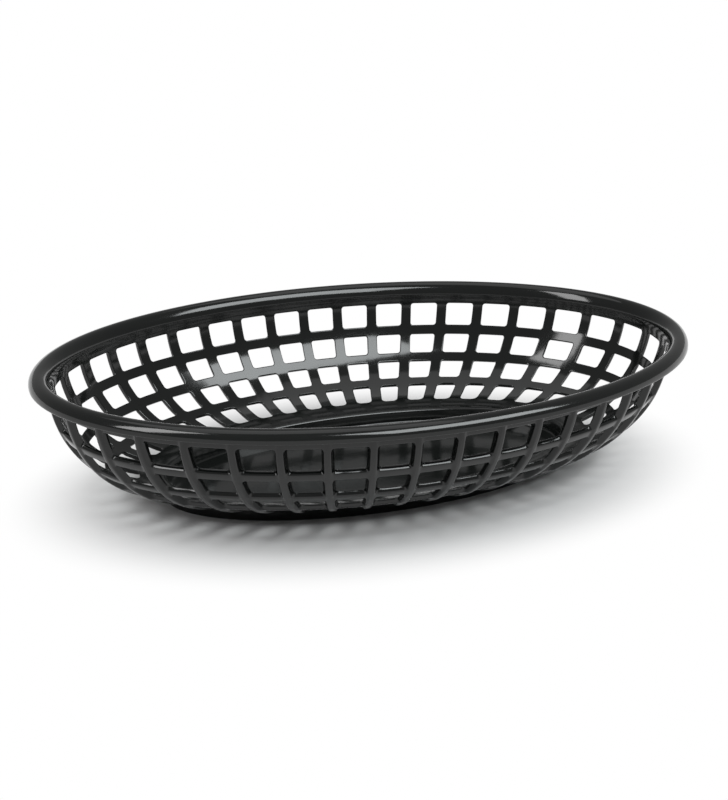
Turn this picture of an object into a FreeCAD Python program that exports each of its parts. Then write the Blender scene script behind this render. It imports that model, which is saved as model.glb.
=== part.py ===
import FreeCAD, Part
import math
import os

# Oval fast food basket, moulded in one piece of plastic.
#
# Every level of the basket is an ellipse: the plan ellipse of the rim, drawn in by the same distance
# all the way round. So each surface is a loft through such outlines, and an outline is told by two
# numbers: its inset from the outer edge of the rim, and its height above the table. The surfaces
# share their end outlines, and together with the floor they close into the solid shell.
#
# From the top down the section is a rolled rim that is hollow underneath, a bowl-shaped wall that
# follows a quarter of an ellipse until it lies flat, a narrow ledge, and a shallow pan with the floor.
# The wall is a lattice: four rows of openings leave level bars and ribs, and the middle of each rib is
# raised and runs down the outside across all the bars, from under the rim into the side of the pan.
#
# Frame: +X along the length, +Z up, the origin under the middle of the basket on the table.

doc = FreeCAD.newDocument("fast_food_basket")

# Sizes in millimetres, angles in degrees. Wall angles run along the quarter ellipse of the wall:
# 0 where it drops straight down below the rim, 90 where it lies flat at the ledge.
SIZES = [
    ("length", 238.0, "over the rim, along X"),
    ("width", 158.0, "over the rim, along Y"),
    ("height", 48.0, "table to the crest of the rim"),
    ("rim_width", 7.2, "outer edge of the rim to the inner face of the wall"),
    ("rim_round", 3.3, "height of the rolled edge of the rim"),
    ("rim_drop", 4.0, "crest of the rim to its lower edge"),
    ("rim_skin", 1.6, "thickness of the rolled rim"),
    ("wall_start", 1.0, "crest of the rim to the start of the wall curve"),
    ("wall_reach", 35.0, "how far the wall curve runs inwards"),
    ("wall_drop", 38.5, "how far the wall curve runs down"),
    ("wall_skin", 1.5, "thickness of the wall and of the level bars"),
    ("row_start", 10.2, "wall angle of the top edge of the first row"),
    ("first_opening", 12.9, "wall angle that the first row takes"),
    ("second_opening", 11.5, "wall angle that the second row takes"),
    ("third_opening", 12.0, "wall angle that the third row takes"),
    ("fourth_opening", 14.9, "wall angle that the fourth row takes"),
    ("bar_angle", 5.5, "wall angle that each level bar takes"),
    ("columns", 40, "openings in a row, and ribs"),
    ("rib_width", 3.75, "width between two openings at the rim"),
    ("rib_spread", 0.5, "how much wider that is at the ledge"),
    ("rib_face", 2.4, "width of the raised part of a rib"),
    ("rib_proud", 0.6, "how far a rib stands out from the bars"),
    ("rib_gather", 0.11, "how far ribs close up on the long sides, in columns"),
    ("ledge", 2.2, "flat ledge between the wall curve and the pan"),
    ("pan_depth", 4.7, "ledge to the floor"),
    ("pan_skin", 1.6, "thickness of the side of the pan"),
    ("pan_draft", 0.6, "how much the side of the pan leans in towards the table"),
    ("pan_corner", 0.8, "chamfer round the floor"),
    ("floor_skin", 1.8, "thickness of the floor"),
    ("foot_ring", 2.0, "width of the ring that the basket stands on"),
    ("edge_break", 0.5, "chamfer on the ledge and on the foot"),
]

sheet = doc.addObject("Spreadsheet::Sheet", "sizes")
for row, (name, value, note) in enumerate(SIZES, start=1):
    sheet.set(f"A{row}", name)
    sheet.set(f"B{row}", str(value))
    sheet.set(f"C{row}", note)
    sheet.setAlias(f"B{row}", name)
doc.recompute()

OPENINGS = ["first_opening", "second_opening", "third_opening", "fourth_opening"]
WALL_STEPS = 6
ROLL_STEPS = 3
OVAL_STEPS = 720
CUT_INSIDE = 2.0
CUT_OUTSIDE = 3.0


def outline(name, inset, height):
    """One plan ellipse in four quarters: the outline of the rim drawn in by an inset, at a height."""
    quarters = []
    for number in range(4):
        arc = doc.addObject("Part::Ellipse", f"{name}_quarter_{number}")
        arc.setExpression("MajorRadius", f"sizes.length / 2 - ({inset})")
        arc.setExpression("MinorRadius", f"sizes.width / 2 - ({inset})")
        arc.setExpression("Placement.Base.z", height)
        arc.Angle1 = 90 * number
        arc.Angle2 = 90 * number + 90
        quarters.append(arc)
    ring = doc.addObject("Part::Compound", name)
    ring.Links = quarters
    return ring


def surface(name, outlines):
    """A surface through outlines, with a straight slope between each two."""
    loft = doc.addObject("Part::Loft", name)
    loft.Sections = outlines
    loft.Solid = False
    loft.Ruled = True
    return loft


def evenly(first, last, steps):
    """Expressions for evenly spaced angles, both ends included."""
    return [f"({first}) + (({last}) - ({first})) * {i} / {steps}" for i in range(steps + 1)]


def wall_outlines(name, out, first):
    """Outlines down the wall curve to its flat end, a distance outside the inner face of the wall."""
    return [
        outline(
            f"{name}_{number}",
            f"sizes.rim_width - {out} + (sizes.wall_reach + {out}) * (1 - cos({angle}))",
            f"sizes.height - sizes.wall_start - (sizes.wall_drop + {out}) * sin({angle})",
        )
        for number, angle in enumerate(evenly(first, "90", WALL_STEPS))
    ]


def roll_outlines(name, edge, crest, rise, top):
    """Outlines of a rounded edge, from its upright side at the inset edge over to its crest."""
    return [
        outline(
            f"{name}_{number}",
            f"({crest}) + (({edge}) - ({crest})) * cos({angle})",
            f"({top}) - ({rise}) * (1 - sin({angle}))",
        )
        for number, angle in enumerate(evenly("0", "90", ROLL_STEPS))
    ]


# Heights and insets that several surfaces share
crest = "sizes.rim_width / 2"
roof_height = "(sizes.height - sizes.rim_skin)"
lip_height = "(sizes.height - sizes.rim_drop)"
inner_start = "asin((sizes.rim_round - sizes.wall_start) / sizes.wall_drop) / (1 deg)"
outer_start = "asin((sizes.rim_skin - sizes.wall_start) / (sizes.wall_drop + sizes.wall_skin)) / (1 deg)"
seam_inset = f"(sizes.rim_width + sizes.wall_reach * (1 - cos({inner_start})))"
ledge_height = "(sizes.height - sizes.wall_start - sizes.wall_drop)"
ledge_underside = f"({ledge_height} - sizes.wall_skin)"
floor_height = f"({ledge_height} - sizes.pan_depth)"
pan_top = "(sizes.rim_width + sizes.wall_reach + sizes.ledge)"
pan_foot = f"({pan_top} + sizes.pan_draft)"
foot_top = f"({pan_top} - sizes.pan_skin)"
foot_edge = f"({foot_top} + sizes.pan_draft)"
ring_outside = f"({foot_edge} + sizes.edge_break)"
ring_inside = f"({ring_outside} + sizes.foot_ring)"


def make_shell():
    """The basket without its lattice: surfaces from under the floor, over the rim, to the floor."""
    under_floor = outline("under_floor", ring_inside, f"{floor_height} - sizes.floor_skin")
    ring_in = outline("ring_in", ring_inside, "0")
    ring_out = outline("ring_out", ring_outside, "0")
    foot_low = outline("foot_low", foot_edge, "sizes.edge_break")
    foot_high = outline("foot_high", foot_top, ledge_underside)
    outside = wall_outlines("outside", "sizes.wall_skin", outer_start)
    hollow = roll_outlines(
        "hollow", "sizes.rim_skin", crest, "(sizes.rim_round - sizes.rim_skin)", roof_height
    )
    lip_in = outline("lip_in", "sizes.rim_skin", lip_height)
    lip_out = outline("lip_out", "0", lip_height)
    outer_roll = roll_outlines("outer_roll", "0", crest, "sizes.rim_round", "sizes.height")
    inner_roll = roll_outlines("inner_roll", seam_inset, crest, "sizes.rim_round", "sizes.height")
    inner_roll[-1] = outer_roll[-1]
    inside = wall_outlines("inside", "0", inner_start)
    inside[0] = inner_roll[0]
    ledge_edge = outline("ledge_edge", f"{pan_top} - sizes.edge_break", ledge_height)
    pan_high = outline("pan_high", pan_top, f"{ledge_height} - sizes.edge_break")
    pan_low = outline("pan_low", pan_foot, f"{floor_height} + sizes.pan_corner")
    floor_edge = outline("floor_edge", f"{pan_foot} + sizes.pan_corner", floor_height)
    surfaces = [
        surface("recess_side", [under_floor, ring_in]),
        surface("foot_side", [ring_out, foot_low, foot_high]),
        surface("wall_outside", outside),
        surface("hollow_roll", hollow),
        surface("hollow_side", [hollow[0], lip_in]),
        surface("lip_side", [lip_out, outer_roll[0]]),
        surface("rim_outside", outer_roll),
        surface("rim_inside", inner_roll),
        surface("wall_inside", inside),
        surface("pan_side", [ledge_edge, pan_high, pan_low, floor_edge]),
    ]
    doc.recompute()
    flats = [
        [under_floor],
        [ring_out, ring_in],
        [outside[-1], foot_high],
        [outside[0], hollow[-1]],
        [lip_out, lip_in],
        [inside[-1], ledge_edge],
        [floor_edge],
    ]
    faces = [face for item in surfaces for face in item.Shape.Faces]
    for outlines in flats:
        wires = [Part.Wire(item.Shape.Edges) for item in outlines]
        wires.sort(key=lambda wire: wire.BoundBox.DiagonalLength, reverse=True)
        faces.append(Part.Face(wires, "Part::FaceMakerBullseye"))
    skin = Part.makeShell(faces)
    skin.sewShape()
    solid = Part.makeSolid(skin)
    shell = doc.addObject("Part::Feature", "shell")
    shell.Shape = solid
    return shell


def round_the_oval(inset, share):
    """The point a share of the way round a plan ellipse, and the direction of the outline there."""
    major = sheet.length / 2 - inset
    minor = sheet.width / 2 - inset
    turn = 2 * math.pi / OVAL_STEPS
    points = [
        (major * math.cos(turn * i), minor * math.sin(turn * i)) for i in range(OVAL_STEPS + 1)
    ]
    travelled = [0.0]
    for before, after in zip(points, points[1:]):
        travelled.append(travelled[-1] + math.dist(before, after))
    target = (share % 1.0) * travelled[-1]
    step = next(i for i in range(OVAL_STEPS) if travelled[i + 1] >= target)
    part = (target - travelled[step]) / (travelled[step + 1] - travelled[step])
    angle = turn * (step + part)
    point = FreeCAD.Vector(major * math.cos(angle), minor * math.sin(angle), 0)
    along = FreeCAD.Vector(-major * math.sin(angle), minor * math.cos(angle), 0)
    return point, along.normalize()


def rib_share(number):
    """How far round the outline a rib stands: evenly, but a little closer on the long sides."""
    gathered = sheet.rib_gather * math.sin(4 * math.pi * number / sheet.columns)
    return 0.25 + (number - gathered) / sheet.columns


def wall_point(number, angle, out):
    """The middle of a rib at a wall angle, a distance outside the inner face, and the way round."""
    inset = sheet.rim_width - out + (sheet.wall_reach + out) * (1 - math.cos(angle))
    point, along = round_the_oval(inset, rib_share(number))
    point.z = sheet.height - sheet.wall_start - (sheet.wall_drop + out) * math.sin(angle)
    return point, along


def rib_side(number, angle, side):
    """A point on the inner face of the wall, on one side of a rib."""
    point, along = wall_point(number, angle, 0)
    width = sheet.rib_width + sheet.rib_spread * math.sin(angle)
    return point + along * (side * width / 2)


def opening(number, top, bottom):
    """The cutter of one opening, a prism square to the wall between two ribs."""
    corners = [
        rib_side(number, top, 1),
        rib_side(number + 1, top, -1),
        rib_side(number + 1, bottom, -1),
        rib_side(number, bottom, 1),
    ]
    middle = sum(corners, FreeCAD.Vector()) * 0.25
    out = (corners[2] - corners[0]).cross(corners[3] - corners[1]).normalize()
    if out.z > 0:
        out = out * -1
    flat = [corner - out * (corner - middle).dot(out) for corner in corners]
    face = Part.Face(Part.makePolygon(flat + flat[:1]))
    face.translate(out * -CUT_INSIDE)
    return face.extrude(out * (CUT_INSIDE + CUT_OUTSIDE))


def make_openings():
    """The cutters of all the openings, row by row."""
    cutters = []
    top = sheet.row_start
    for row in OPENINGS:
        bottom = top + sheet.get(row)
        for number in range(int(sheet.columns)):
            cutters.append(opening(number, math.radians(top), math.radians(bottom)))
        top = bottom + sheet.bar_angle
    openings = doc.addObject("Part::Feature", "openings")
    openings.Shape = Part.makeCompound(cutters)
    return openings


def raised_rib(number):
    """The raised middle of one rib: its side view, in an upright plane, given the rib's width."""
    angles = [math.pi / 2 * step / WALL_STEPS for step in range(WALL_STEPS + 1)]
    raised = [wall_point(number, angle, sheet.wall_skin + sheet.rib_proud)[0] for angle in angles]
    buried = [wall_point(number, angle, sheet.wall_skin / 2)[0] for angle in angles]
    start = FreeCAD.Vector(raised[0].x, raised[0].y, 0)
    run = FreeCAD.Vector(raised[-1].x, raised[-1].y, 0) - start
    run.normalize()
    into_the_foot = run * (sheet.ledge - sheet.pan_skin / 2)
    raised.append(raised[-1] + into_the_foot)
    buried.append(buried[-1] + into_the_foot)
    corners = [
        start + run * (point - start).dot(run) + FreeCAD.Vector(0, 0, point.z)
        for point in raised + buried[::-1]
    ]
    across = FreeCAD.Vector(-run.y, run.x, 0) * sheet.rib_face
    side = Part.Face(Part.makePolygon(corners + corners[:1]))
    side.translate(across * -0.5)
    return side.extrude(across)


def make_ribs():
    """The raised middles of all the ribs, from under the rim into the side of the pan."""
    ribs = doc.addObject("Part::Feature", "ribs")
    ribs.Shape = Part.makeCompound([raised_rib(number) for number in range(int(sheet.columns))])
    return ribs


ribbed = doc.addObject("Part::MultiFuse", "ribbed")
ribbed.Shapes = [make_shell(), make_ribs()]
basket = doc.addObject("Part::Cut", "basket")
basket.Base = ribbed
basket.Tool = make_openings()
basket.Label = "basket"
doc.recompute()

for item in doc.Objects:
    if "Invalid" in item.State or "Error" in item.State:
        raise RuntimeError(f"{item.Name} did not build: {item.State}")

if basket.Shape.isNull() or not basket.Shape.isValid():
    raise RuntimeError("the basket is not a valid shape")
if len(basket.Shape.Solids) != 1:
    raise RuntimeError(f"the basket should be one solid, not {len(basket.Shape.Solids)}")

box = basket.Shape.BoundBox
print("box", round(box.XLength, 2), round(box.YLength, 2), round(box.ZLength, 2), "lowest", round(box.ZMin, 3))
print("volume", round(basket.Shape.Volume), "faces", len(basket.Shape.Faces))

os.makedirs("parts", exist_ok=True)
basket.Shape.exportStep("parts/basket.step")
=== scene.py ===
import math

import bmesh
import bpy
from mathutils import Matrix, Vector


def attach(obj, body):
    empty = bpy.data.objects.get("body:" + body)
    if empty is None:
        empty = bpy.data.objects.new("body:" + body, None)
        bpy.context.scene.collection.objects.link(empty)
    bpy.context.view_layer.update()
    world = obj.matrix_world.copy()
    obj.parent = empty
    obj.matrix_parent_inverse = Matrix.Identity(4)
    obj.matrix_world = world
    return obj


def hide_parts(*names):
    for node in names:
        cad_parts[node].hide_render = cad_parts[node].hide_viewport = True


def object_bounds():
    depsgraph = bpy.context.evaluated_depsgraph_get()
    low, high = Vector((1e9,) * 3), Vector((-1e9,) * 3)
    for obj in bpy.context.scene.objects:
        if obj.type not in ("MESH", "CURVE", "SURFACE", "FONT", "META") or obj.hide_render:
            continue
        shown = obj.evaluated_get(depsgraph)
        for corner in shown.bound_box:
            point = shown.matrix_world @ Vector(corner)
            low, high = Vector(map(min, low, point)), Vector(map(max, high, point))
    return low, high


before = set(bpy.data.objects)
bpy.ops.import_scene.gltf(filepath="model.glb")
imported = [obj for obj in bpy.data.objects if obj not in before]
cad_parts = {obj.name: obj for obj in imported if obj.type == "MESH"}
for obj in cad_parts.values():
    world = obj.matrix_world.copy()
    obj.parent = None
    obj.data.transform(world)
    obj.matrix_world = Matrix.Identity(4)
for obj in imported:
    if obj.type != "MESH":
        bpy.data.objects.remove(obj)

# %% [markdown]
# An oval fast food basket, moulded in one piece from glossy black plastic. Its rim is rolled over and
# hollow underneath, its wall is a lattice of ribs and level bars that curves in to a narrow ledge, and
# a shallow pan inside the ledge has the floor and the foot that the basket stands on.
# The solid model gives the size, so its box is measured first.

solid_low, solid_high = [list(corner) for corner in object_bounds()]
LENGTH = solid_high[0] - solid_low[0]
WIDTH = solid_high[1] - solid_low[1]
HEIGHT = solid_high[2]
print(f"solid model {LENGTH * 1000:.1f} x {WIDTH * 1000:.1f} x {HEIGHT * 1000:.1f} mm")

# %% [markdown]
# On the real basket every level is the same oval, drawn in by an even distance. So a point of the
# plastic is told by its inset from the outer edge of the rim, its height, and how far round it is.
# The mould repeats one column of openings forty times. It could be drawn forty times over, or cut out
# of a bowl with boolean shapes, but cut edges stay sharp and leave uneven faces. Here one column is
# drawn flat, from the middle of one rib to the middle of the next, with every edge rounded as a mould
# rounds it, and Geometry Nodes then repeat the column and bend it round the oval.

# %% Sizes of the wall, in metres
mm = 0.001
RIM_WIDTH = 7.2 * mm
WALL_START = 1.0 * mm  # below the top of the rim, where the wall's curve begins
WALL_REACH = 35.0 * mm
WALL_DROP = 38.5 * mm
WALL_SKIN = 1.5 * mm
WALL_RADIUS = (WALL_REACH + WALL_DROP) / 2
LEDGE_ANGLE = math.radians(90)
print(f"wall {WALL_REACH / mm:.1f} mm inwards, {WALL_DROP / mm:.1f} mm down, {WALL_SKIN / mm:.1f} mm thick")

# %% Sizes of the lattice
COLUMNS = 40
GATHER = 0.11  # in columns: how far the ribs are drawn towards the middle of the long sides
ROW_START = math.radians(10.2)
OPENINGS = [math.radians(angle) for angle in (12.9, 11.5, 12.0, 14.9)]
CORNERS = [1.0 * mm, 1.0 * mm, 1.1 * mm, 1.7 * mm]
BAR = math.radians(5.5)
LEDGE_BAND = [0.35, 0.6, 0.8, 1.0]  # rows of points from the last opening to the ledge
RIB_WIDTH = 3.75 * mm
RIB_SPREAD = 0.5 * mm  # what a rib's width grows by towards the ledge
RIB_TAPER = 0.72 * mm  # what each side of a rib loses towards the outside
RIB_PROUD = 0.6 * mm  # how far the ribs stand out from the bars
BAR_TAPER = 0.6 * mm  # how much lower the upper face of a bar is outside
SHOULDER = 0.7 * mm  # how much of a rib's edge is rounded
FLANK_FOOT = 0.3 * mm  # how far that rounding runs on beside the rib
print(f"{COLUMNS} columns of {len(OPENINGS)} openings")


# %% [markdown]
# The wall of the real basket follows about a quarter of an ellipse: it drops straight down below the
# rim and lies flat at the ledge. A place on it is an angle along that quarter and a distance outside
# the inner face. The ribs get narrower to the outside, so that the basket leaves its mould, and stand a
# little proud of the bars. A rib could be a piece of its own, but its foot would then cut the bars with
# a hard line. Here one rule gives its height for each distance from its middle, with soft shoulders,
# so that it runs over the bars unbroken.

# %% The wall curve and the cross-section of a rib
def wall(angle, out):
    """Inset and height of a place on the wall."""
    inset = RIM_WIDTH - out + (WALL_REACH + out) * (1 - math.cos(angle))
    height = HEIGHT - WALL_START - (WALL_DROP + out) * math.sin(angle)
    return inset, height


def half_rib(angle, outside=False):
    """Half the width of a rib. It grows a little towards the ledge and tapers to the outside."""
    return (RIB_WIDTH + RIB_SPREAD * math.sin(angle)) / 2 - (RIB_TAPER if outside else 0)


def proud(across, angle):
    """How far the outside stands out from the bars, at a distance from the middle of a rib."""
    half = half_rib(angle, True)
    share = min(1, max(0, (half + FLANK_FOOT - across) / (SHOULDER + FLANK_FOOT)))
    return RIB_PROUD * share * share * (3 - 2 * share)


print(f"a rib is {2 * half_rib(0) / mm:.2f} mm wide inside and {2 * half_rib(0, True) / mm:.2f} mm outside")

# %% [markdown]
# One column is a closed skin with four holes through it. Its points are kept with four numbers: the
# share of the way from this rib to the next, the inset, the height, and a shift along the oval in
# metres, so that a rib keeps its width where the columns get narrower.

# %% A flat column to draw in
points = []
shifts = []
keeps = []
faces = []


def put(share, shift, inset, height, keep=1.0):
    """Adds a point of the column. Keep draws it towards the middle of the basket, for the floor."""
    points.append((share, inset, height))
    shifts.append(shift)
    keeps.append(keep)
    return len(points) - 1


def quads(row, other):
    """Joins two rows of points, side by side, with faces."""
    for a, b, c, d in zip(row, row[1:], other[1:], other):
        faces.append((d, c, b, a))


def join(row, below, outside):
    """Joins a row to the one below it, so that the faces look away from the plastic."""
    if outside:
        quads(row, below)
    else:
        quads(below, row)


# %% [markdown]
# Each opening is an oblong with rounded corners. It is drawn by rays: a ray is a place across the
# opening, a place down it, and a turn round the corner, and it gives one point of every loop. Loops
# lead from the outer face over a rounded edge, through the thickness of the plastic, and over a
# smaller rounded edge to the inner face. The light catches on exactly these rounded edges, so they are
# modelled and not left to a shader. The upper face of each bar falls a little to the outside, and a
# narrow flat loop round the inner edge keeps the light on the wall's face even.

# %% The rays round an opening
OUTER_FILLET = 0.55 * mm
INNER_FILLET = 0.25 * mm
INNER_FLAT = 0.2 * mm
CORNER_TURNS = [math.radians(angle) for angle in (0, 22.5, 45, 67.5, 90)]
OUTER_TURNS = [math.radians(angle) for angle in (0, 30, 60, 90)]
INNER_TURNS = [math.radians(angle) for angle in (90, 45, 0)]
UPRIGHT, LEVEL = CORNER_TURNS[0], CORNER_TURNS[-1]
BAR_SHARES = [0.25, 0.5, 0.75]
SIDE_SHARES = [1 / 3, 2 / 3]
RAYS = [(0, 0, turn) for turn in CORNER_TURNS]
RAYS += [(share, 0, LEVEL) for share in BAR_SHARES]
RAYS += [(1, 0, turn) for turn in reversed(CORNER_TURNS)]
RAYS += [(1, share, UPRIGHT) for share in SIDE_SHARES]
RAYS += [(1, 1, turn) for turn in CORNER_TURNS]
RAYS += [(share, 1, LEVEL) for share in reversed(BAR_SHARES)]
RAYS += [(0, 1, turn) for turn in reversed(CORNER_TURNS)]
RAYS += [(0, share, UPRIGHT) for share in reversed(SIDE_SHARES)]
print("rays round an opening:", len(RAYS))


# %% The loops of points through one opening
def opening_ray(top, bottom, corner, ray, grow, outside):
    """One point round an opening: its share, its shift, its angle, and how far it is from the rib."""
    share, down, turn = ray
    if outside:
        bottom += BAR_TAPER / WALL_RADIUS
    reach = (corner - (corner + grow) * math.sin(turn)) / WALL_RADIUS
    angle = top + reach + (bottom - top - 2 * reach) * down
    across = half_rib(angle, outside) + corner - (corner + grow) * math.cos(turn)
    return share, (1 - 2 * share) * across, angle, across


def opening_loops(top, bottom, corner):
    """All the loops of one opening, the outer face first, joined with faces."""
    edges = []
    for fillet, turns, outside in ((OUTER_FILLET, OUTER_TURNS, True), (INNER_FILLET, INNER_TURNS, False)):
        edges += [(fillet * (1 - math.sin(a)), fillet * (1 - math.cos(a)), outside) for a in turns]
    edges.append((INNER_FILLET + INNER_FLAT, 0, False))
    loops = []
    for grow, drop, outside in edges:
        loop = []
        for ray in RAYS:
            share, shift, angle = opening_ray(top, bottom, corner, ray, grow, outside)[:3]
            shoulder = opening_ray(top, bottom, corner, ray, OUTER_FILLET, outside)[3]
            out = WALL_SKIN + proud(shoulder, angle) - drop if outside else drop
            loop.append(put(share, shift, *wall(angle, out)))
        loops.append(loop)
    for loop, other in zip(loops, loops[1:]):
        quads(loop + loop[:1], other + other[:1])
    return loops


all_loops = []
top = ROW_START
for opening, corner in zip(OPENINGS, CORNERS):
    all_loops.append(opening_loops(top, top + opening, corner))
    top += opening + BAR
print("four openings:", len(points), "points,", len(faces), "faces")


# %% [markdown]
# The two faces of the wall are grids of rows that end at the openings. Above, between and below the
# openings a row runs all the way across, and beside an opening it stops at the loop's first point.
# The rays from the head to the foot of an opening go down its right side, and each has a twin on the
# left, so the two rows beside the opening are made together.

# %% The rows of the wall
HEAD_RAY = 10
FOOT_RAY = 17
TWINS = 12  # the numbers of a ray and of its twin add up to this


def stations(angle, corner, grow, outside):
    """The places across a whole row: from one rib, over the opening, to the next rib."""
    half = half_rib(angle, outside)
    start = half - SHOULDER
    turns = [half + corner - (corner + grow) * math.cos(turn) for turn in CORNER_TURNS[2:]]
    left = [0, start / 2, start] + turns
    middle = [(share, (1 - 2 * share) * turns[-1], turns[-1]) for share in BAR_SHARES]
    return [(0, at, at) for at in left] + middle + [(1, -at, at) for at in reversed(left)]


def on_face(share, shift, across, angle, outside):
    """A point on the inner or the outer face of the wall."""
    out = WALL_SKIN + proud(across, angle) if outside else 0
    return put(share, shift, *wall(angle, out))


def wall_row(angle, corner, grow, outside):
    """A whole row of points across the wall."""
    return [on_face(*station, angle, outside) for station in stations(angle, corner, grow, outside)]


def beside(angle, loop, ray, outside):
    """The short rows left and right of an opening, each ending in a point of its loop."""
    start = half_rib(angle, outside) - SHOULDER
    steps = (0, start / 2, start)
    left = [on_face(0, across, across, angle, outside) for across in steps]
    right = [on_face(1, -across, across, angle, outside) for across in reversed(steps)]
    return left + [loop[TWINS - ray]], [loop[ray]] + right


# %% The two faces of the wall
RIM_ROLL = 5.6 * mm  # below the top of the rim, where the roll runs out in the inner face
OUTER_START = 1.5 * mm  # below the start of the wall, where the outer face begins


def wall_face(loops, first_angle, outside):
    """One face of the wall, from the rim down to the ledge. Gives its first and its last row."""
    grow = OUTER_FILLET if outside else INNER_FILLET + INNER_FLAT
    top = ROW_START
    start = wall_row(first_angle, CORNERS[0], grow, outside)
    above = wall_row((first_angle + top) / 2, CORNERS[0], grow, outside)
    join(start, above, outside)
    for opening, corner, loop in zip(OPENINGS, CORNERS, loops):
        bottom = top + opening
        rows = []
        for ray in range(HEAD_RAY, FOOT_RAY + 1):
            angle = opening_ray(top, bottom, corner, RAYS[ray], grow, outside)[2]
            rows.append(beside(angle, loop, ray, outside))
        head = rows[0][0] + loop[TWINS - HEAD_RAY + 1:HEAD_RAY] + rows[0][1]
        join(above, head, outside)
        for (left, right), (next_left, next_right) in zip(rows, rows[1:]):
            join(left, next_left, outside)
            join(right, next_right, outside)
        above = rows[-1][0] + loop[TWINS - FOOT_RAY - 1:FOOT_RAY:-1] + rows[-1][1]
        angles = [bottom + BAR / 2]
        if loop is loops[-1]:
            angles = [bottom + (LEDGE_ANGLE - bottom) * share for share in LEDGE_BAND]
        for angle in angles:
            below = wall_row(angle, corner, grow, outside)
            join(above, below, outside)
            above = below
        top = bottom + BAR
    return start, above


first_inside = math.asin((RIM_ROLL - WALL_START) / WALL_DROP)
first_outside = math.asin(OUTER_START / (WALL_DROP + WALL_SKIN))
inner_top, inner_low = wall_face([loops[-1] for loops in all_loops], first_inside, False)
outer_top, outer_low = wall_face([loops[0] for loops in all_loops], first_outside, True)
print("column with its wall:", len(points), "points,", len(faces), "faces")


# %% [markdown]
# The rim is rolled over like the edge of a tin tray: round on top, with a lip that hangs down outside
# and an open hollow behind it. Its section could be a curve that is swept round the oval, but then its
# points would not meet those of the wall. So it is a list of insets and heights, made of quarter
# ellipses, and each becomes one more row of the column. A row close behind a bend, by HOLD, keeps the
# light beside the bend even.

# %% The rolled rim
RIM_ROUND = 3.3 * mm  # the height of the roll outside
RIM_DROP = 4.0 * mm
RIM_SKIN = 1.6 * mm
LIP_EDGE = 0.4 * mm
HOLD = 1.0 * mm  # from a bend to the row that keeps the face behind it flat


def quarter(centre, across, up, first, last, steps):
    """Insets and heights round an ellipse, from one angle in degrees to another, without the first."""
    ring = []
    for step in range(1, steps + 1):
        angle = math.radians(first + (last - first) * step / steps)
        ring.append((centre[0] - across * math.cos(angle), centre[1] + up * math.sin(angle)))
    return ring


def level_row(inset, height, keep=1.0, ribbed=False):
    """A whole row of points at one inset and height, as on the rim, the pan and the foot."""
    row = []
    for share, shift, across in stations(0, CORNERS[0], OUTER_FILLET, True):
        lower = proud(across, 0) if ribbed else 0
        row.append(put(share, shift, inset, height - lower, keep))
    return row


crest = RIM_WIDTH / 2
roll_foot = HEIGHT - RIM_ROUND
lip_low = HEIGHT - RIM_DROP
seam = wall(first_inside, 0)[0]
rim_section = quarter((crest, HEIGHT - RIM_ROLL), seam - crest, RIM_ROLL, 180, 90, 10)
rim_section += quarter((crest, roll_foot), crest, RIM_ROUND, 90, 0, 8)
rim_section += [(0, lip_low + LIP_EDGE)]
rim_section += quarter((LIP_EDGE, lip_low + LIP_EDGE), LIP_EDGE, LIP_EDGE, 0, -90, 3)
rim_section += quarter((RIM_SKIN - LIP_EDGE, lip_low + LIP_EDGE), LIP_EDGE, LIP_EDGE, -90, -180, 3)
rim_section += [(RIM_SKIN, roll_foot)]
rim_section += quarter((crest, roll_foot), crest - RIM_SKIN, RIM_ROUND - RIM_SKIN, 0, 90, 4)
rim_section += [(crest + HOLD, HEIGHT - RIM_SKIN)]
above = inner_top
for inset, height in rim_section:
    row = level_row(inset, height)
    quads(above, row)
    above = row
quads(above, outer_top)
print("rim section:", len(rim_section), "rows")

# %% [markdown]
# Inside the ledge the mould steps down into a shallow pan. Its edge and its corner are rounded, and
# outside, the same step is the foot, with a narrow ring that touches the table. Both are more rows of
# the column, so they meet the wall point by point.

# %% The section of the pan
LEDGE = 2.2 * mm
PAN_DEPTH = 4.7 * mm
PAN_SKIN = 1.6 * mm
PAN_DRAFT = 0.6 * mm
PAN_EDGE = 1.2 * mm
PAN_HOLD = 1.56 * mm  # from the pan to the row that keeps the ledge flat
FLOOR_SKIN = 1.8 * mm
FLOOR_CORNER = 0.8 * mm
ledge_height = HEIGHT - WALL_START - WALL_DROP
floor_height = ledge_height - PAN_DEPTH
pan_top = RIM_WIDTH + WALL_REACH + LEDGE
pan_foot = pan_top + PAN_DRAFT
pan_section = [(pan_top - PAN_HOLD, ledge_height)]
pan_section += quarter((pan_top - PAN_EDGE, ledge_height - PAN_EDGE), PAN_EDGE, PAN_EDGE, 90, 180, 5)
pan_section += [(pan_top + PAN_DRAFT / 3, ledge_height - PAN_DEPTH / 3)]
pan_section += [(pan_foot, floor_height + FLOOR_CORNER)]
pan_section += quarter(
    (pan_foot + FLOOR_CORNER, floor_height + FLOOR_CORNER), FLOOR_CORNER, FLOOR_CORNER, 0, -90, 4
)
pan_section += [(pan_foot + 2 * FLOOR_CORNER, floor_height)]
print("pan section:", len(pan_section), "rows")

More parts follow.
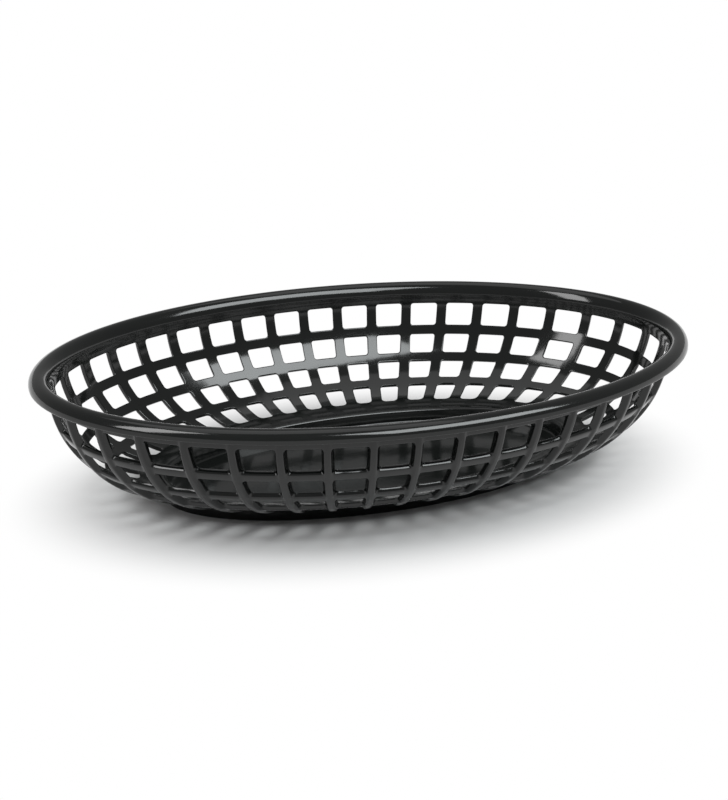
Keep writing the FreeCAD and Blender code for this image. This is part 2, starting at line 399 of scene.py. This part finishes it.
# %% The section of the foot
FOOT_RING = 2.0 * mm
FOOT_ROUND = 0.5 * mm
FOOT_ROWS = [(0.1, 0.7 * mm), (0.3, 1.8 * mm)]  # shares of the draft, and distances below the ledge
foot_top = pan_top - PAN_SKIN
foot_edge = foot_top + PAN_DRAFT
ring_end = foot_edge + FOOT_ROUND + FOOT_RING
underside = floor_height - FLOOR_SKIN
ledge_under = ledge_height - WALL_SKIN
foot_section = [(foot_top + PAN_DRAFT * share, ledge_under - below) for share, below in FOOT_ROWS]
foot_section += [(foot_edge, FOOT_ROUND)]
foot_section += quarter((foot_edge + FOOT_ROUND, FOOT_ROUND), FOOT_ROUND, FOOT_ROUND, 0, -90, 3)
foot_section += [(ring_end - FOOT_ROUND / 2, 0), (ring_end, FOOT_ROUND / 2)]
foot_section += [(ring_end, underside), (ring_end + HOLD, underside)]
print("foot section:", len(foot_section), "rows")

# %% [markdown]
# The floor and its underside shrink towards the middle in a few rings that close in one point. The
# number kept with each point says how much of its distance from the middle is left. The first row of
# the foot dips under each rib, so that the ribs run out softly in it.

# %% Join the pan and the foot to the wall
FLOOR_RINGS = [0.85, 0.6, 0.3, 0.0]


def close_to_the_middle(row, inset, height, upward):
    """Rings that shrink to one point, for the floor and for its underside."""
    for keep in FLOOR_RINGS:
        ring = level_row(inset, height, keep)
        join(row, ring, not upward)
        row = ring


above = inner_low
for inset, height in pan_section:
    row = level_row(inset, height)
    join(above, row, False)
    above = row
close_to_the_middle(above, pan_section[-1][0], floor_height, True)
above = outer_low
for number, (inset, height) in enumerate(foot_section):
    row = level_row(inset, height, ribbed=number == 0)
    join(above, row, True)
    above = row
close_to_the_middle(above, foot_section[-1][0], underside, False)
print("whole column:", len(points), "points,", len(faces), "faces")

# %% The flat column as an object
column_mesh = bpy.data.meshes.new("column")
column_mesh.from_pydata(points, [], faces)
for name, values in (("shift", shifts), ("keep", keeps)):
    attribute = column_mesh.attributes.new(name, "FLOAT", "POINT")
    attribute.data.foreach_set("value", values)
column = bpy.data.objects.new("column", column_mesh)
bpy.context.scene.collection.objects.link(column)
print("column:", len(column_mesh.vertices), "points, each with its shift and its keep")


# %% [markdown]
# The finish comes next, because the node tree that bends the column also gives it its material.
# The basket is moulded in polypropylene, coloured black all the way through, in a polished steel
# mould. Such a surface is a mirror with a very slight waviness a few millimetres wide, left by the
# shrinking plastic, and its gloss is broken by faint hairline scuffs from stacking and washing. The
# mix is a dark grey base, a low roughness that the scuffs raise a little, and two very low bumps.
# Inputs are named where the names are clear. A Mix node has all its kinds of input at once, the
# vectors at 4 and 5 and the colours at 6 and 7, so those go by number.

# %% One function for colours and one for nodes
def linear(text):
    """An sRGB hex colour as the linear values that shaders take."""
    channels = [int(text[i:i + 2], 16) / 255 for i in (1, 3, 5)]
    straight = [c / 12.92 if c <= 0.04045 else ((c + 0.055) / 1.055) ** 2.4 for c in channels]
    return (*straight, 1)


def add(tree, kind, inputs=(), **settings):
    """Adds a node to a tree, sets its settings, and sets or links its inputs."""
    node = tree.nodes.new(kind)
    for name, value in settings.items():
        setattr(node, name, value)
    for key, value in dict(inputs).items():
        if isinstance(value, bpy.types.NodeSocket):
            tree.links.new(value, node.inputs[key])
        else:
            node.inputs[key].default_value = value
    return node


# %% The patterns in the plastic
WAVE = 7 * mm
WAVE_DEPTH = 0.1 * mm
SCUFF_LENGTH = 9 * mm
SCUFF_WIDTH = 0.35 * mm  # real hairlines are finer, and would not show
HAZE = 30 * mm
GRAIN = 0.5 * mm  # the real grain is finer, and would not show
GRAIN_DEPTH = 0.006 * mm
plastic = bpy.data.materials.new("polished_black_polypropylene")
plastic.use_nodes = True
tree = plastic.node_tree
tree.nodes.clear()
place = add(tree, "ShaderNodeTexCoord").outputs["Object"]
stretched = (1 / SCUFF_LENGTH, 1 / SCUFF_WIDTH, 1 / SCUFF_LENGTH)
turned = add(
    tree, "ShaderNodeMapping", {"Vector": place, "Rotation": (0.4, 0.2, 0.6), "Scale": stretched}
)
scuffs = add(tree, "ShaderNodeTexNoise", {"Vector": turned.outputs[0], "Scale": 1.0, "Detail": 3.0})
hairlines = add(
    tree, "ShaderNodeMapRange",
    {"Value": scuffs.outputs[0], "From Min": 0.58, "From Max": 0.78, "To Min": 0.0, "To Max": 1.0},
)
haze = add(tree, "ShaderNodeTexNoise", {"Vector": place, "Scale": 1 / HAZE, "Detail": 2.0})
worn = add(
    tree, "ShaderNodeMath", {0: hairlines.outputs[0], 1: haze.outputs[0]}, operation="MULTIPLY"
)
print("patterns:", len(tree.nodes), "nodes")

# %% Polished black polypropylene
roughness = add(
    tree, "ShaderNodeMapRange", {"Value": worn.outputs[0], "To Min": 0.1, "To Max": 0.22}
)
shade = add(
    tree, "ShaderNodeMix",
    {"Factor": haze.outputs[0], 6: linear("#080a09"), 7: linear("#0d0f0e")},
    data_type="RGBA",
)
ripple = add(tree, "ShaderNodeTexNoise", {"Vector": place, "Scale": 1 / WAVE, "Detail": 1.0})
grain = add(tree, "ShaderNodeTexNoise", {"Vector": place, "Scale": 1 / GRAIN, "Detail": 2.0})
waves = add(
    tree, "ShaderNodeBump",
    {"Height": ripple.outputs[0], "Strength": 0.4, "Distance": WAVE_DEPTH},
)
skin = add(
    tree, "ShaderNodeBump",
    {"Height": grain.outputs[0], "Strength": 0.1, "Distance": GRAIN_DEPTH, "Normal": waves.outputs[0]},
)
shader = add(
    tree, "ShaderNodeBsdfPrincipled",
    {
        "Base Color": shade.outputs[2],
        "Roughness": roughness.outputs[0],
        "Normal": skin.outputs[0],
        "IOR": 1.5,
        "Specular IOR Level": 0.45,
    },
)
add(tree, "ShaderNodeOutputMaterial", {"Surface": shader.outputs[0]})
print("finish:", plastic.name, "with", len(tree.nodes), "nodes")


# %% [markdown]
# The tree below sets the copies of the column side by side, makes them one mesh and moves every point
# to its place. A curve modifier could bend a straight wall too, but it follows one curve, and here the
# rim and the pan are ovals of different lengths. So two ovals are sampled, one at the edge of the rim
# and one at the pan, and a point lies between them by its inset.

# %% The tree and its inputs
bend = bpy.data.node_groups.new("column_round_the_oval", "GeometryNodeTree")
bend.interface.new_socket("Column", in_out="INPUT", socket_type="NodeSocketGeometry")
for name, kind in (
    ("Columns", "NodeSocketInt"),
    ("Length", "NodeSocketFloat"),
    ("Width", "NodeSocketFloat"),
    ("Inner inset", "NodeSocketFloat"),
    ("Gather", "NodeSocketFloat"),
    ("Finish", "NodeSocketMaterial"),
):
    bend.interface.new_socket(name, in_out="INPUT", socket_type=kind)
bend.interface.new_socket("Basket", in_out="OUTPUT", socket_type="NodeSocketGeometry")
given = add(bend, "NodeGroupInput").outputs
print("inputs:", ", ".join(socket.name for socket in given if socket.name))

# %% The copies of the column, each with the number of its seat
seats = add(bend, "GeometryNodeMeshLine", {"Count": given["Columns"], "Offset": (0, 0, 0)})
index = add(bend, "GeometryNodeInputIndex")
numbered = add(
    bend, "GeometryNodeStoreNamedAttribute",
    {"Geometry": seats.outputs[0], "Name": "seat", "Value": index.outputs[0]},
    data_type="FLOAT", domain="POINT",
)
copies = add(
    bend, "GeometryNodeInstanceOnPoints",
    {"Points": numbered.outputs[0], "Instance": given["Column"]},
)
joined = add(bend, "GeometryNodeRealizeInstances", {"Geometry": copies.outputs[0]})
position = add(bend, "GeometryNodeInputPosition")
flat = add(bend, "ShaderNodeSeparateXYZ", {0: position.outputs[0]})
seat, shift, keep = [
    add(bend, "GeometryNodeInputNamedAttribute", {"Name": name}, data_type="FLOAT").outputs[0]
    for name in ("seat", "shift", "keep")
]
print("tree:", len(bend.nodes), "nodes")

# %% [markdown]
# A curve is sampled by its length, so the columns come out evenly wide all the way round. The ribs of
# the real basket stand a little closer on the long sides, and Gather does that with one wave of a sine
# for each half of the oval. The shift is divided by the length of the oval at the point's own inset,
# which lies between the lengths of the two ovals.

# %% How far round the oval a point is
TWO_WAVES = 4 * math.pi
number = add(bend, "ShaderNodeMath", {0: seat, 1: flat.outputs["X"]}, operation="ADD").outputs[0]
waved = add(bend, "ShaderNodeMath", {0: number, 1: TWO_WAVES}, operation="MULTIPLY").outputs[0]
turn = add(bend, "ShaderNodeMath", {0: waved, 1: given["Columns"]}, operation="DIVIDE").outputs[0]
sine = add(bend, "ShaderNodeMath", {0: turn}, operation="SINE").outputs[0]
gathered = add(bend, "ShaderNodeMath", {0: sine, 1: given["Gather"]}, operation="MULTIPLY").outputs[0]
drawn_up = add(bend, "ShaderNodeMath", {0: number, 1: gathered}, operation="SUBTRACT").outputs[0]
share = add(bend, "ShaderNodeMath", {0: drawn_up, 1: given["Columns"]}, operation="DIVIDE").outputs[0]
print("tree:", len(bend.nodes), "nodes")

# %% The two ovals
OVAL_STEPS = 720
inset, inner = flat.outputs["Y"], given["Inner inset"]
depth = add(bend, "ShaderNodeMath", {0: inset, 1: inner}, operation="DIVIDE").outputs[0]
ovals = []
lengths = []
for drawn_in in (0.0, inner):
    circle = add(bend, "GeometryNodeCurvePrimitiveCircle", {"Resolution": OVAL_STEPS, "Radius": 1.0})
    halves = []
    for side in ("Length", "Width"):
        half = add(bend, "ShaderNodeMath", {0: given[side], 1: 2.0}, operation="DIVIDE")
        half = add(bend, "ShaderNodeMath", {0: half.outputs[0], 1: drawn_in}, operation="SUBTRACT")
        halves.append(half.outputs[0])
    stretch = add(bend, "ShaderNodeCombineXYZ", {0: halves[0], 1: halves[1], 2: 1.0})
    oval = add(
        bend, "GeometryNodeTransform", {"Geometry": circle.outputs[0], "Scale": stretch.outputs[0]}
    )
    ovals.append(oval.outputs[0])
    lengths.append(add(bend, "GeometryNodeCurveLength", {0: oval.outputs[0]}).outputs[0])
print("tree:", len(bend.nodes), "nodes")

# %% The place of each point between the ovals
FIRST_RIB = 0.25  # share of the way round, from the end of the oval to the middle of a long side
longer = add(bend, "ShaderNodeMath", {0: lengths[1], 1: lengths[0]}, operation="SUBTRACT").outputs[0]
added = add(bend, "ShaderNodeMath", {0: depth, 1: longer}, operation="MULTIPLY").outputs[0]
way_round = add(bend, "ShaderNodeMath", {0: lengths[0], 1: added}, operation="ADD").outputs[0]
aside = add(bend, "ShaderNodeMath", {0: shift, 1: way_round}, operation="DIVIDE").outputs[0]
moved = add(bend, "ShaderNodeMath", {0: share, 1: aside}, operation="ADD").outputs[0]
started = add(bend, "ShaderNodeMath", {0: moved, 1: FIRST_RIB}, operation="ADD").outputs[0]
factor = add(bend, "ShaderNodeMath", {0: started}, operation="FRACT").outputs[0]
samples = [
    add(
        bend, "GeometryNodeSampleCurve", {"Curves": oval, "Factor": factor},
        mode="FACTOR", use_all_curves=True,
    ).outputs["Position"]
    for oval in ovals
]
between = add(
    bend, "ShaderNodeMix", {"Factor": depth, 4: samples[0], 5: samples[1]},
    data_type="VECTOR", clamp_factor=False,
)
drawn = add(
    bend, "ShaderNodeVectorMath", {0: between.outputs[1], "Scale": keep}, operation="SCALE"
)
plan = add(bend, "ShaderNodeSeparateXYZ", {0: drawn.outputs[0]})
final = add(
    bend, "ShaderNodeCombineXYZ",
    {0: plan.outputs["X"], 1: plan.outputs["Y"], 2: flat.outputs["Z"]},
)
print("tree:", len(bend.nodes), "nodes")

# %% [markdown]
# Neighbouring columns share the points on the middle of a rib, so points that are closer than SEAM
# become one, and the basket is a single closed skin.

# %% One closed and smooth skin with its finish
SEAM = 0.003 * mm
bent = add(
    bend, "GeometryNodeSetPosition", {"Geometry": joined.outputs[0], "Position": final.outputs[0]}
)
merged = add(bend, "GeometryNodeMergeByDistance", {"Geometry": bent.outputs[0], "Distance": SEAM})
smooth = add(bend, "GeometryNodeSetShadeSmooth", {"Geometry": merged.outputs[0]})
coloured = add(
    bend, "GeometryNodeSetMaterial", {"Geometry": smooth.outputs[0], "Material": given["Finish"]}
)
add(bend, "NodeGroupOutput", {0: coloured.outputs[0]})
print("tree:", len(bend.nodes), "nodes")

# %% [markdown]
# The tree hangs on the flat column as a modifier. Its inputs are set by their identifiers, because
# their names are only labels. Nothing in the hand-in may depend on a live modifier, so the result is
# taken as a plain mesh, and the column goes away with its modifier.

# %% The finished basket as one plain mesh
modifier = column.modifiers.new("bend", "NODES")
modifier.node_group = bend
choices = {
    "Columns": COLUMNS,
    "Length": LENGTH,
    "Width": WIDTH,
    "Inner inset": pan_top,
    "Gather": GATHER,
    "Finish": plastic,
}
for socket in bend.interface.items_tree:
    if socket.name in choices:
        modifier[socket.identifier] = choices[socket.name]
depsgraph = bpy.context.evaluated_depsgraph_get()
basket_mesh = bpy.data.meshes.new_from_object(column.evaluated_get(depsgraph))
basket_mesh.name = "moulded_basket"
for name in ("shift", "keep", "seat"):
    if name in basket_mesh.attributes:
        basket_mesh.attributes.remove(basket_mesh.attributes[name])
bpy.data.objects.remove(column)
basket = bpy.data.objects.new("moulded_basket", basket_mesh)
bpy.context.scene.collection.objects.link(basket)
print("basket:", len(basket_mesh.vertices), "points,", len(basket_mesh.polygons), "faces")

# %% Measure the skin and fix the basket to the frame
CUBIC_CM = 1e-6
measured = bmesh.new()
measured.from_mesh(basket_mesh)
open_edges = sum(1 for edge in measured.edges if not edge.is_contiguous)
volume = measured.calc_volume(signed=True) / CUBIC_CM
measured.free()
triangles = sum(len(face.vertices) - 2 for face in basket_mesh.polygons)
print(f"basket: {triangles} triangles, {open_edges} open or turned edges, {volume:.1f} cubic centimetres")

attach(basket, "root")
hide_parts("basket")

# %% [markdown]
# The basket stands on a sheet of matt paper that turns up at its far edges, as on a product
# photographer's table. More light could turn the sheet white, but it would grey the plastic as well.
# So near the basket the sheet is plain and pale and keeps a soft shadow, and further out it fades to
# full white, which only the camera, mirror-like surfaces and clear ones see. The distance is measured
# in ovals like the rim's, where 1 is the rim, so that the white begins evenly all round the basket.

# %% The sheet of paper
FLOOR_SIZE = 6.0
BACKDROP_HEIGHT = 0.4
half = FLOOR_SIZE / 2
floor_mesh = bpy.data.meshes.new("studio_floor")
corners = [(-half, -half), (half, -half), (half, half), (-half, half)]
sheet_points = [(x, y, z) for z in (0, BACKDROP_HEIGHT) for x, y in corners]
sheet_faces = [(0, 1, 2, 3), (0, 4, 5, 1), (1, 5, 6, 2), (2, 6, 7, 3), (3, 7, 4, 0)]
floor_mesh.from_pydata(sheet_points, [], sheet_faces)
studio_floor = bpy.data.objects.new("studio_floor", floor_mesh)
bpy.context.scene.collection.objects.link(studio_floor)
print("sheet:", FLOOR_SIZE, "m wide")

# %% How white the paper is from place to place
CLEAR = 0.66  # in ovals: where the white begins
FADED = 1.12  # where it is full
paper = bpy.data.materials.new("matt_white_paper")
paper.use_nodes = True
tree = paper.node_tree
tree.nodes.clear()
where = add(tree, "ShaderNodeTexCoord").outputs["Object"]
in_ovals = add(
    tree, "ShaderNodeVectorMath", {0: where, 1: (2 / LENGTH, 2 / WIDTH, 0)}, operation="MULTIPLY"
)
far = add(tree, "ShaderNodeVectorMath", {0: in_ovals.outputs[0]}, operation="LENGTH")
faded = add(
    tree, "ShaderNodeMapRange",
    {"Value": far.outputs["Value"], "From Min": CLEAR, "From Max": FADED},
    interpolation_type="SMOOTHSTEP",
)
rays = add(tree, "ShaderNodeLightPath").outputs
seen = add(
    tree, "ShaderNodeMath", {0: rays["Is Camera Ray"], 1: rays["Is Glossy Ray"]}, operation="MAXIMUM"
)
seen = add(
    tree, "ShaderNodeMath", {0: seen.outputs[0], 1: rays["Is Transmission Ray"]}, operation="MAXIMUM"
)
whiteness = add(
    tree, "ShaderNodeMath", {0: faded.outputs[0], 1: seen.outputs[0]}, operation="MULTIPLY"
)
pale = add(tree, "ShaderNodeBsdfDiffuse", {"Color": linear("#b4b4b4")})
white = add(tree, "ShaderNodeEmission", {"Color": linear("#ffffff"), "Strength": 1.0})
mixed = add(
    tree, "ShaderNodeMixShader", {0: whiteness.outputs[0], 1: pale.outputs[0], 2: white.outputs[0]}
)
add(tree, "ShaderNodeOutputMaterial", {"Surface": mixed.outputs[0]})
floor_mesh.materials.append(paper)
print("paper:", len(tree.nodes), "nodes")

# %% [markdown]
# Above the sheet is an even, dim surrounding. It fills the shadows and gives the upper faces of the
# plastic a dark sheen. A brighter one would lay a grey veil over the whole basket.

# %% The dim surrounding above the sheet
SURROUNDING = 0.31
world = bpy.data.worlds.new("pale_surrounding")
bpy.context.scene.world = world
world.use_nodes = True
tree = world.node_tree
tree.nodes.clear()
glow = add(tree, "ShaderNodeBackground", {"Color": linear("#ffffff"), "Strength": SURROUNDING})
add(tree, "ShaderNodeOutputWorld", {"Surface": glow.outputs[0]})
print("surrounding:", SURROUNDING, "of full white")


# %% [markdown]
# The highlights on the photographed basket are long soft bands, so its lamps were large softboxes.
# A small lamp would give points of light on so glossy a surface. One softbox stands at each side, in
# the direction that its bands come from and far enough away to stay even. A third hangs overhead and
# is so weak that it only lifts the lower part of the wall.

# %% Softboxes
def softbox(name, direction, distance, size, power, colour):
    """A large rectangular lamp that looks at the basket from a direction."""
    lamp = bpy.data.lights.new(name, "AREA")
    lamp.shape = "RECTANGLE"
    lamp.size, lamp.size_y = size
    lamp.energy = power
    lamp.color = linear(colour)[:3]
    towards = Vector(direction).normalized()
    turn = towards.to_track_quat("Z", "Y").to_matrix().to_4x4()
    holder = bpy.data.objects.new(name, lamp)
    holder.matrix_world = Matrix.Translation(towards * distance) @ turn
    bpy.context.scene.collection.objects.link(holder)


softbox(
    "right_softbox", direction=(0.365, -0.555, 0.79), distance=1.2, size=(0.94, 0.52), power=13.0,
    colour="#f6fbfc",
)
softbox(
    "left_softbox", direction=(-0.70, -0.20, 0.66), distance=1.2, size=(0.34, 0.85), power=6.8,
    colour="#ffffff",
)
softbox(
    "top_softbox", direction=(0.0, 0.2, 0.98), distance=1.4, size=(1.2, 1.0), power=3.2,
    colour="#ffffff",
)

# %% [markdown]
# The camera stands where the photographer's did, quite near, so the near side looks larger than the
# far one. Its place and lens were found by fitting the ovals and the openings to the photograph.

# %% The camera
LENS = 67.43
SENSOR = 36
LOOK_AT = Vector((-0.00309, 0, 0.02768))
BACK = Vector((-0.3556, -0.8689, 0.3444)).normalized()  # from there towards the camera
DISTANCE = 0.5292
ROLL = math.radians(0.46)
camera_data = bpy.data.cameras.new("photographer")
camera_data.lens = LENS
camera_data.sensor_width = SENSOR
camera_data.clip_start = 0.01
camera = bpy.data.objects.new("photographer", camera_data)
upright = BACK.to_track_quat("Z", "Y").to_matrix().to_4x4()
camera.matrix_world = (
    Matrix.Translation(LOOK_AT + BACK * DISTANCE) @ upright @ Matrix.Rotation(ROLL, 4, "Z")
)
bpy.context.scene.collection.objects.link(camera)
bpy.context.scene.camera = camera
bpy.context.scene.view_settings.view_transform = "Standard"
print("camera:", LENS, "mm lens,", DISTANCE, "m from the basket")

# %% Update the scene and finish
bpy.context.view_layer.update()
